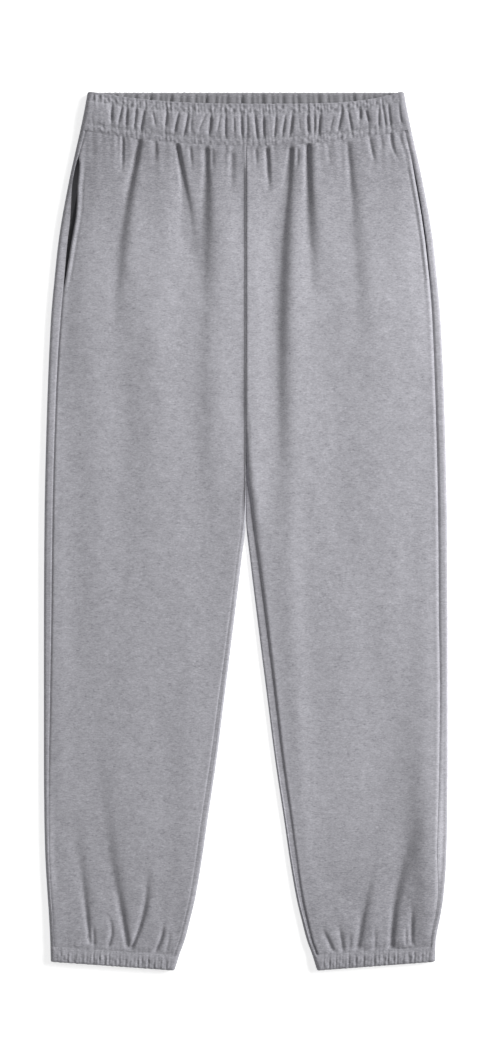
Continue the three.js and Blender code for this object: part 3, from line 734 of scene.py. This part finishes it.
def even_stations(row, start, end, share):
    """Stations evenly spaced along the cloth."""
    span, fold_out = row.last - row.first, np.pi * row.fold_out
    fold_in = np.pi * np.maximum(row.fold_in, 0.01)

    def length(station):
        return np.where(station < 0, station * fold_in, np.where(station < 1, station * span, span + (station - 1) * fold_out))

    reach = length(start) + (length(end) - length(start)) * share
    return np.where(reach < 0, reach / fold_in, np.where(reach < span, reach / span, 1 + (reach - span) / fold_out))


def spaced(*stretches):
    """Rows from a list of stretches: start, end and the step between rows."""
    parts = [np.arange(start, end, step, dtype=float) for start, end, step in stretches]
    return np.concatenate([*parts, [stretches[-1][1]]])[:, None]


def make_mesh(name, points, quads, inside_from=None):
    """A closed mesh from points in millimetres. Faces from inside_from on are the cloth's reverse."""
    mesh = bpy.data.meshes.new(name)
    mesh.from_pydata((points * MM).tolist(), [], quads.tolist())
    mesh.polygons.foreach_set("use_smooth", np.ones(len(mesh.polygons), bool))
    mesh.set_sharp_from_angle(angle=np.radians(56))
    if inside_from is not None:
        index = np.zeros(len(mesh.polygons), np.int32)
        index[inside_from[0]:inside_from[1]] = 1
        mesh.polygons.foreach_set("material_index", index)
    mesh.update()
    piece = bpy.data.objects.new(name, mesh)
    bpy.context.scene.collection.objects.link(piece)
    return piece


def grid_quads(numbers, turned=False):
    """Quads between neighbours in a grid of point numbers."""
    corners = [numbers[:-1, :-1], numbers[1:, :-1], numbers[1:, 1:], numbers[:-1, 1:]]
    if turned:
        corners.reverse()
    return np.stack(corners, axis=-1).reshape(-1, 4)


def open_wall(name, outer, inner, side):
    """A thin wall between an outer and an inner grid of points, closed by rims."""
    rows, columns = outer.shape[:2]
    count = rows * columns
    front = np.arange(count).reshape(rows, columns)
    back = front + count
    turned = side < 0
    rims = [
        grid_quads(np.stack([back[:, 0], front[:, 0]], axis=1), turned),
        grid_quads(np.stack([front[:, -1], back[:, -1]], axis=1), turned),
        grid_quads(np.stack([back[0], front[0]], axis=0), turned),
        grid_quads(np.stack([front[-1], back[-1]], axis=0), turned),
    ]
    quads = [grid_quads(front, turned), grid_quads(back, not turned), *rims]
    points = np.concatenate([outer.reshape(-1, 3), inner.reshape(-1, 3)])
    first = len(quads[0])
    return make_mesh(name, points, np.concatenate(quads), (first, first + len(quads[1])))


def closed_wall(name, loops, side, inside_rows):
    """A wall round a tube: a grid of points that closes on itself both ways."""
    rows, columns = loops.shape[:2]
    numbers = np.arange(rows * columns).reshape(rows, columns)
    numbers = np.concatenate([numbers, numbers[:1]], axis=0)
    numbers = np.concatenate([numbers, numbers[:, :1]], axis=1)
    quads = grid_quads(numbers, side < 0)
    inside = (inside_rows[0] * columns, inside_rows[1] * columns)
    return make_mesh(name, loops.reshape(-1, 3), quads, inside)


def make_front(side):
    row = leg_rows(side, spaced((44, 96, 1.25), (96, 250, 3.4), (250, 425, 6), (425, 480, 2.5), (480, 560, 4),
                                (560, 860, 8), (860, 930, 3.2), (930, 982, 1.1)))
    ends = panel_ends(row)
    near = 0.016
    shares = np.concatenate([
        np.linspace(0, near, 10, endpoint=False),
        np.linspace(near, 1 - near, 163, endpoint=False),
        np.linspace(1 - near, 1, 11),
    ])
    columns = even_stations(row, ends.front_start, ends.front_end, shares[None, :])
    stations = columns + 1e-7 * np.arange(columns.shape[1])
    outer, inner = around(row, stations, 0), around(row, stations, CLOTH)
    return open_wall("front_left_cloth" if side < 0 else "front_right_cloth", outer, inner, side)


def make_back(side):
    row = leg_rows(side, spaced((44, 70, 1.6), (70, 250, 5), (250, 425, 7), (425, 480, 2.5), (480, 860, 8),
                                (860, 940, 4), (940, 982, 1.6)))
    ends = panel_ends(row)

    def stretch(start, end, count):
        return start + (end - start) * np.linspace(0, 1, count, endpoint=False)[None, :]

    edge = 0 * row.down + 1
    fold_start = np.minimum(np.maximum(ends.back_start, 0), 1)
    stations = np.concatenate([
        stretch(ends.back_start, np.maximum(ends.back_start, edge), 8),
        stretch(np.maximum(ends.back_start, edge), 2 * edge, 14),
        stretch(2 * edge, 3 * edge, 92),
        stretch(3 * edge, np.clip(ends.back_end, 3, 4), 14),
        stretch(np.clip(ends.back_end, 3, 4), ends.back_end, 6),
        ends.back_end,
    ], axis=1)
    stations = np.sort(stations + np.arange(stations.shape[1])[None, :] * 1e-7, axis=1)
    outer, inner = around(row, stations, 0), around(row, stations, CLOTH)
    return open_wall("back_left_cloth" if side < 0 else "back_right_cloth", outer, inner, side)


def tube_stations(top_steps, under_steps):
    """Stations once round a tube, from under its middle."""
    return np.concatenate([
        np.linspace(-1.5, -1, under_steps // 2, endpoint=False),
        np.linspace(-1, 0, 16, endpoint=False),
        np.linspace(0, 1, top_steps, endpoint=False),
        np.linspace(1, 2, 16, endpoint=False),
        np.linspace(2, 2.5, under_steps // 2, endpoint=False),
    ])[None, :]


def back_pleats(row, across):
    """Pleats inside the back of the band, which shows above the front."""
    total = 0
    for i in range(BACK_PLEATS):
        share = (i + 0.5 + 0.6 * uneven(i + 7)) / BACK_PLEATS
        middle = (2 * share - 1) * row.last
        total = total + (1 + 0.8 * uneven(i)) * slit((across - middle) / 1.9)
    return BACK_PLEAT_DEPTH * total


def make_band():
    wall = 3.4
    outer_rows = spaced((1.3, 12, 0.8), (12, 32, 1.3), (32, BAND_DEPTH, 0.75))
    inner_rows = spaced((1.3, 14, 1.1), (14, BAND_DEPTH, 3))[::-1]
    stations = tube_stations(430, 200)
    outer = around(band_rows(outer_rows), stations, 0)
    row = band_rows(inner_rows)
    under = row.last - (stations % 4 - 2) * (row.last - row.first)
    strength = 0.35 + 0.65 * smoothstep(inner_rows, 0, 8)
    lining = 0.9 - strength * back_pleats(row, under) * (1 - bell((row.last - np.abs(under)) / 6))
    inner = around(row, stations, wall, lining)
    edge_row = band_rows(spaced((0, 0.3, 0.3))[:1])
    edge_outer = around(edge_row, stations, 0.8)
    edge_inner = around(edge_row, stations, wall - 0.8)
    hem_row = band_rows(spaced((BAND_DEPTH, BAND_DEPTH + 0.1, 0.1))[:1])
    foot = around(hem_row, stations, wall / 2)
    loops = np.concatenate([edge_outer, outer, foot, inner, edge_inner])
    first = 1 + len(outer_rows)
    return closed_wall("waistband_cloth", loops, 1, (first, first + len(inner_rows) + 1))


def make_casing(side):
    wall = 2.6
    outer_rows = spaced((CASING_TOP, 999, 0.85))
    inner_rows = spaced((CASING_TOP, 998.8, 2.4))[::-1]
    stations = tube_stations(190, 90)
    outer = around(casing_rows(side, outer_rows), stations, 0)
    inner = around(casing_rows(side, inner_rows), stations, wall)
    edge_row = casing_rows(side, spaced((LENGTH, LENGTH + 0.1, 0.1))[:1])
    edge_outer = around(edge_row, stations, 0.6)
    edge_inner = around(edge_row, stations, wall - 0.6)
    loops = np.concatenate([outer, edge_outer, edge_inner, inner])
    first = len(outer_rows) + 1
    name = "hem_casing_left_cloth" if side < 0 else "hem_casing_right_cloth"
    return closed_wall(name, loops, side, (first, first + len(inner_rows)))


def make_pocket_bag(side):
    """A flat pouch on the back's inner face, open along the side seam."""
    layer = 0.8
    steps_in, steps_down = 26, 36
    reach = np.linspace(BAG["reach"][0], BAG["reach"][-1], steps_in)
    chart = {"down": BAG["reach"], "start": BAG["start"], "end": BAG["end"]}

    def loop(at, inset, mouth):
        start, end = read(chart, at, "start") + 2 * inset, read(chart, at, "end") - 2 * inset
        share = np.linspace(0, 1, steps_down)
        down = np.concatenate([start + (end - start) * share, end - (end - start) * share])[:, None]
        upper = np.repeat([0, 1], steps_down)[:, None]
        row = leg_rows(side, down)
        step = mouth * upper * (6 + row.opening)
        floor = read(CAD_WALL, down, "wall") + SEAM_GAP
        puff = 0.25 * (1 + lumps(down, 40 + 0 * down + at, 30, 30, 6))
        rim = np.sin(np.pi * np.concatenate([share, share]))[:, None]
        lift = layer + 0.3 + layer - inset
        z = floor + np.where(upper > 0, lift + puff * rim, inset)
        across = row.out - at - step + inset * (1 - mouth)
        return settle(row, across, z, 1 + 0 * across)[:, 0]

    outer = np.stack([loop(at, 0, float(i == 0)) for i, at in enumerate(reach)])
    inner = np.stack([loop(at, layer * 0.7, float(i == 0)) for i, at in enumerate(reach)])[::-1]
    grid = np.concatenate([outer, inner])
    rows, columns = grid.shape[:2]
    numbers = np.arange(rows * columns).reshape(rows, columns)
    wrapped = np.concatenate([numbers, numbers[:, :1]], axis=1)
    turned = side > 0
    parts = [grid_quads(wrapped[:steps_in], turned), grid_quads(wrapped[steps_in:], turned)]
    parts.append(grid_quads(np.stack([wrapped[-1], wrapped[0]]), turned))
    for ring, flip in ((numbers[steps_in - 1], turned), (numbers[steps_in], not turned)):
        lower, upper = ring[:steps_down], ring[steps_down:][::-1]
        parts.append(grid_quads(np.stack([lower, upper]), flip))
    name = "pocket_bag_left_cloth" if side < 0 else "pocket_bag_right_cloth"
    return make_mesh(name, grid.reshape(-1, 3), np.concatenate(parts))


class Socket:
    """A number that changes over a surface. Sums and products of it add Math nodes."""

    def __init__(self, finish, socket):
        self.finish = finish
        self.socket = socket

    def math(self, operation, *values):
        inputs = dict(enumerate(values))
        return self.finish.node("ShaderNodeMath", {"operation": operation}, inputs)

    def __add__(self, other):
        return self.math("ADD", self, other)

    def __radd__(self, other):
        return self.math("ADD", other, self)

    def __sub__(self, other):
        return self.math("SUBTRACT", self, other)

    def __rsub__(self, other):
        return self.math("SUBTRACT", other, self)

    def __mul__(self, other):
        return self.math("MULTIPLY", self, other)

    def __rmul__(self, other):
        return self.math("MULTIPLY", other, self)

    def __pow__(self, other):
        return self.math("POWER", self, other)

    def between(self, low, high):
        """0 below low and 1 above high, with a smooth change."""
        settings = {"interpolation_type": "SMOOTHSTEP"}
        return self.finish.node("ShaderNodeMapRange", settings, {"Value": self, "From Min": low, "From Max": high})


class Finish:
    """A material and the nodes that make it."""

    def __init__(self, name):
        self.material = bpy.data.materials.new(name)
        self.material.use_nodes = True
        self.tree = self.material.node_tree
        self.tree.nodes.clear()

    def node(self, kind, settings=None, inputs=None, output=0):
        """Adds a node: its settings first, then the values or links of its sockets."""
        made = self.tree.nodes.new(kind)
        for name, value in (settings or {}).items():
            setattr(made, name, value)
        for name, value in (inputs or {}).items():
            if isinstance(value, Socket):
                self.tree.links.new(value.socket, made.inputs[name])
            else:
                made.inputs[name].default_value = value
        return Socket(self, made.outputs[output])

    def place(self):
        """Places on the object, in metres."""
        return self.node("ShaderNodeTexCoord", output="Object")

    def stretched(self, place, wide, tall, turn=0):
        """The same places in units of a grain's width and height, in metres."""
        inputs = {"Vector": place, "Rotation": (0, 0, turn), "Scale": (1 / wide, 1 / tall, 1 / tall)}
        return self.node("ShaderNodeMapping", None, inputs)

    def noise(self, place, detail=2.0, rough=0.5, scale=1.0):
        inputs = {"Vector": place, "Scale": scale, "Detail": detail, "Roughness": rough}
        return self.node("ShaderNodeTexNoise", {"normalize": True}, inputs)

    def blend(self, share, first, second):
        """A colour between two colours."""
        inputs = {0: share, 6: first, 7: second}
        return self.node("ShaderNodeMix", {"data_type": "RGBA"}, inputs, output=2)

    def bump(self, height, distance, strength, normal=None):
        inputs = {"Height": height, "Distance": distance, "Strength": strength}
        if normal is not None:
            inputs["Normal"] = normal
        return self.node("ShaderNodeBump", None, inputs)

    def cloth(self, colour, rough, normal, sheen, sheen_rough, specular, glow=0):
        inputs = {
            "Base Color": colour, "Roughness": rough, "Normal": normal, "Sheen Weight": sheen,
            "Sheen Roughness": sheen_rough, "Specular IOR Level": specular, "Emission Strength": glow,
        }
        shader = self.node("ShaderNodeBsdfPrincipled", None, inputs)
        self.node_output(shader)
        return self.material

    def node_output(self, shader):
        output = self.tree.nodes.new("ShaderNodeOutputMaterial")
        self.tree.links.new(shader.socket, output.inputs["Surface"])


def heather_fleece_painted_shade(name, light, dark, inside=False):
    """Heather jersey: light and dark fibres knitted together, with a soft nap, and painted shade in places."""
    finish = Finish(name)
    place = finish.place()
    fibres = finish.noise(finish.stretched(place, 0.0052, 0.0014), 3.0, 0.62)
    cross = finish.noise(finish.stretched(place, 0.0024, 0.0013, 0.35), 2.0, 0.6)
    flecks = finish.noise(finish.stretched(place, 0.0036, 0.0016, -0.15), 1.0, 0.5)
    mottle = finish.noise(finish.stretched(place, 0.0085, 0.006), 2.0, 0.6)
    clouds = finish.noise(finish.stretched(place, 0.026, 0.02), 2.0, 0.5)
    dark_flecks = flecks.between(0.6, 0.74)
    light_flecks = cross.between(0.6, 0.76)
    mix = 0.5 + (fibres - 0.5) * 0.92 + (cross - 0.5) * 0.86 + (mottle - 0.5) * 0.5 + (clouds - 0.5) * 0.2
    mix = mix - dark_flecks * 0.28 + light_flecks * 0.24

    # Painted shade: the cloth is darker towards the waistband and the hems, for the shadow in gathers too fine
    # to model and for the light falling off towards both ends; darker on the right at the hems, and on the
    # waistband darker on its right and lighter on its left
    across, along, high = (
        finish.node("ShaderNodeSeparateXYZ", None, {"Vector": place}, output=i) for i in range(3)
    )
    mix = mix - along.between(0.28, 0.46) * 0.33 - (0 - along).between(0.3, 0.47) * (0.22 + across * 0.5)
    mix = mix - along.between(0.45, 0.46) * across * 0.6
    if inside:
        # Painted shadow on the reverse below the front's upper edge, where the front overhangs it
        mix = mix - (0 - along).between(-0.498, -0.487) * 0.5
    else:
        # Painted shade along the raised front waist edge, which puts out the highlight it catches; rim is its mask
        rim = (along - across * across * 0.42).between(0.48, 0.487)
        mix = mix - rim * high.between(0.005, 0.0075) * 0.5
    colour = finish.blend(mix, dark, light)
    knit = finish.noise(finish.stretched(place, 0.0009, 0.0013), 2.0, 0.6)
    nap = finish.noise(finish.stretched(place, 0.00042, 0.00042), 2.0, 0.7)
    soft = finish.noise(finish.stretched(place, 0.006, 0.0045), 2.0, 0.5)
    coarse = finish.bump(soft, 0.0005, 0.35)
    grain = finish.bump(knit * 0.7 + nap * 0.4, 0.0004, 0.35, coarse)
    return finish.cloth(colour, 0.9 + (fibres - 0.5) * 0.1, grain, 0.18, 0.5, 0.25)


def plain_jersey(name, light, dark):
    """Thin jersey pocketing."""
    finish = Finish(name)
    place = finish.place()
    grain = finish.noise(finish.stretched(place, 0.0011, 0.0016), 2.0, 0.55)
    colour = finish.blend(0.5 + (grain - 0.5) * 0.8, dark, light)
    return finish.cloth(colour, 0.92 + (grain - 0.5) * 0.06, finish.bump(grain, 0.0003, 0.3), 0.1, 0.5, 0.2)


def spun_thread(name, light, dark):
    """Twisted polyester thread."""
    finish = Finish(name)
    place = finish.place()
    twist = finish.noise(finish.stretched(place, 0.0005, 0.0005), 1.0, 0.5)
    colour = finish.blend(0.5 + (twist - 0.5) * 1.2, dark, light)
    return finish.cloth(colour, 0.6 + (twist - 0.5) * 0.1, finish.bump(twist, 0.0001, 0.3), 0.05, 0.4, 0.4)


def floor_finish():
    finish = Finish("pale_floor")
    speck = finish.noise(finish.stretched(finish.place(), 0.4, 0.4), 2.0, 0.5)
    colour = finish.blend(speck, (0.87, 0.87, 0.87, 1), (0.89, 0.89, 0.89, 1))
    return finish.cloth(colour, 0.8 + speck * 0.02, finish.bump(speck, 0.0001, 0.05), 0, 0.5, 0.1, 0.6)


def make_stitches(name, paths, length=2.9, pitch=3.5, radius=0.24):
    """Rows of stitches. Each path is points in millimetres along a seam line."""
    sides, rings = 6, 5
    share = np.linspace(-1, 1, rings)
    around_thread = np.arange(sides) * 2 * np.pi / sides
    points, quads, count = [], [], 0
    for path in paths:
        steps = np.linalg.norm(np.diff(path, axis=0), axis=1)
        run = np.concatenate([[0], np.cumsum(steps)])
        middles = np.arange(pitch / 2, run[-1], pitch)
        for middle in middles:
            ends = [np.array([np.interp(middle + s, run, path[:, k]) for k in range(3)])
                    for s in (-length / 2, length / 2)]
            along = (ends[1] - ends[0]) / np.linalg.norm(ends[1] - ends[0])
            aside = np.cross(along, (0, 0, 1))
            aside /= np.linalg.norm(aside)
            up = np.cross(aside, along)
            centre = (ends[0] + ends[1]) / 2
            for s in share:
                thick = radius * (1 - 0.75 * s ** 4)
                spot = centre + along * s * length / 2 - up * 0.3 * s * s
                ring = spot + thick * (np.cos(around_thread)[:, None] * aside + np.sin(around_thread)[:, None] * up)
                points.append(ring)
            for r in range(rings - 1):
                for k in range(sides):
                    a, b = count + r * sides + k, count + r * sides + (k + 1) % sides
                    quads.append((a, b, b + sides, a + sides))
            quads.append(tuple(count + k for k in reversed(range(4))))
            quads.append((count, count + 5, count + 4, count + 3))
            last = count + (rings - 1) * sides
            quads.append(tuple(last + k for k in range(4)))
            quads.append((last + 3, last + 4, last + 5, last))
            count += rings * sides
    return make_mesh(name, np.concatenate(points), np.array(quads))


def top_path(row, across, lift=0.1):
    """Points on the upper face at one place on each row."""
    spot = around(row, station_of(row, across), -lift)
    return spot[:, 0]


def row_path(row, stations, lift):
    return around(row, stations, -lift)[0]


def pocket_paths(side):
    """Topstitching 6 mm inside the pocket's edge, and a bar tack at each end."""
    down = spaced((POCKET_TOP + 2, POCKET_FOOT - 1, 1.5))
    row = leg_rows(side, down)
    paths = [top_path(row, row.out - row.front_edge - POCKET_FACING)]
    for at in (POCKET_TOP + 2, POCKET_FOOT - 1):
        tack = leg_rows(side, np.full((7, 1), float(at)))
        inside = np.linspace(0.8, POCKET_FACING, 7)[:, None]
        paths.append(top_path(tack, tack.out - tack.front_edge - inside))
    return paths


def band_paths(top):
    """Two rows of stitching round the waistband hold its elastic."""
    stations = np.linspace(0.004, 0.996, 520) if top else np.linspace(2.01, 2.99, 300)
    return [row_path(band_rows(np.array([[at]])), stations[None, :], -0.1 if not top else 0.1)
            for at in (10.0, 36.0)]


def casing_paths(side):
    row = casing_rows(side, np.array([[CASING_TOP + 1.6]]))
    return [row_path(row, np.linspace(0.01, 0.99, 260)[None, :], 0.1)]


FLEECE_LIGHT = (0.49, 0.485, 0.525, 1)
FLEECE_DARK = (0.235, 0.232, 0.254, 1)
# The reverse is coloured darker than the face as painted shade, for the shadow inside the waistband
FLEECE_REVERSE_PAINTED_SHADE_LIGHT = (0.44, 0.436, 0.466, 1)
FLEECE_REVERSE_PAINTED_SHADE_DARK = (0.2, 0.198, 0.213, 1)

# The flat cut of what shows of each piece: width, length and area, in metres and square metres
CUTS = {
    "waistband": (0.94, 0.046, 0.0425),
    "front": (0.235, 0.945, 0.185),
    "back": (0.245, 0.945, 0.2),
    "hem_casing": (0.35, 0.02, 0.0068),
    "pocket_bag": (0.24, 0.24, 0.042),
}


def dress():
    """Makes every piece of the garment and puts it on the frame."""
    fleece = heather_fleece_painted_shade("heather_fleece_painted_shade", FLEECE_LIGHT, FLEECE_DARK)
    # The reverse's darker colours and its darkening under the front's edge are painted shade
    reverse = heather_fleece_painted_shade("fleece_reverse_painted_shade", FLEECE_REVERSE_PAINTED_SHADE_LIGHT, FLEECE_REVERSE_PAINTED_SHADE_DARK, inside=True)
    # The pocketing is real jersey, and its near-black colour is painted shade inside the pocket opening
    pocketing_in_painted_shade = plain_jersey("pocketing_jersey_painted_shade", (0.1, 0.1, 0.107, 1), (0.06, 0.06, 0.065, 1))
    thread = spun_thread("sewing_thread", (0.36, 0.365, 0.38, 1), (0.25, 0.255, 0.27, 1))

    pieces = {"waistband": make_band()}
    for name, side in (("left", -1), ("right", 1)):
        pieces["back_" + name] = make_back(side)
        pieces["front_" + name] = make_front(side)
        pieces["hem_casing_" + name] = make_casing(side)
        pieces["pocket_bag_" + name] = make_pocket_bag(side)
    for node, piece in pieces.items():
        bag = node.startswith("pocket_bag")
        piece.data.materials.append(pocketing_in_painted_shade if bag else fleece)
        if not bag:
            piece.data.materials.append(reverse)
        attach(piece, "root")
        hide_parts(node)

    seams = {"waistband": make_stitches("waistband_stitching", band_paths(True) + band_paths(False))}
    for name, side in (("left", -1), ("right", 1)):
        seams["front_" + name] = make_stitches(f"pocket_{name}_stitching", pocket_paths(side))
        seams["hem_casing_" + name] = make_stitches(f"hem_{name}_stitching", casing_paths(side))
    for stitching in seams.values():
        stitching.data.materials.append(thread)
        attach(stitching, "root")

    for node, piece in pieces.items():
        kind = next(kind for kind in CUTS if node.startswith(kind))
        rest = "front_left_cloth" if kind == "pocket_bag" else "floor"
        side = node.rsplit("_", 1)[-1]
        held = "gathered" if kind in ("waistband", "hem_casing") else "laid"
        sewn = [seams[node]] if node in seams else []


# The photograph's frame: 502 by 1044 pixels, 1.139 mm each, seen from straight above
FRAME_HIGH = 1.1876
VIEW_CENTRE = (0.00585, 0.0104)
CAMERA_HIGH = 3.4
SENSOR = 36.0


def set_camera():
    data = bpy.data.cameras.new("view")
    camera = bpy.data.objects.new("view", data)
    bpy.context.scene.collection.objects.link(camera)
    data.sensor_fit = "VERTICAL"
    data.sensor_height = SENSOR
    data.lens = SENSOR * (CAMERA_HIGH - 0.006) / FRAME_HIGH
    data.clip_end = 20
    camera.location = (*VIEW_CENTRE, CAMERA_HIGH)
    bpy.context.scene.camera = camera


def area_light(name, place, aim, size, power, colour=(1, 1, 1)):
    data = bpy.data.lights.new(name, "AREA")
    data.shape = "RECTANGLE"
    data.size, data.size_y = size
    data.energy = power
    data.color = colour
    light = bpy.data.objects.new(name, data)
    light.location = place
    light.rotation_euler = (Vector(aim) - Vector(place)).to_track_quat("-Z", "Y").to_euler()
    bpy.context.scene.collection.objects.link(light)


def set_studio():
    """A pale floor, a big soft light from the upper right and an even sky."""
    bpy.ops.mesh.primitive_plane_add(size=12, location=(0, 0, -0.0004))
    floor = bpy.context.object
    floor.name = "pale_floor"
    floor.data.materials.append(floor_finish())
    world = bpy.data.worlds.new("studio")
    world.use_nodes = True
    world.node_tree.nodes["Background"].inputs["Color"].default_value = (1, 1, 1, 1)
    world.node_tree.nodes["Background"].inputs["Strength"].default_value = 0.3
    bpy.context.scene.world = world
    area_light("key", (2.5, 1.15, 1.48), (0.05, 0.05, 0), (2.6, 1.7), 168)
    bpy.context.scene.view_settings.view_transform = "Standard"


set_studio()
set_camera()
dress()
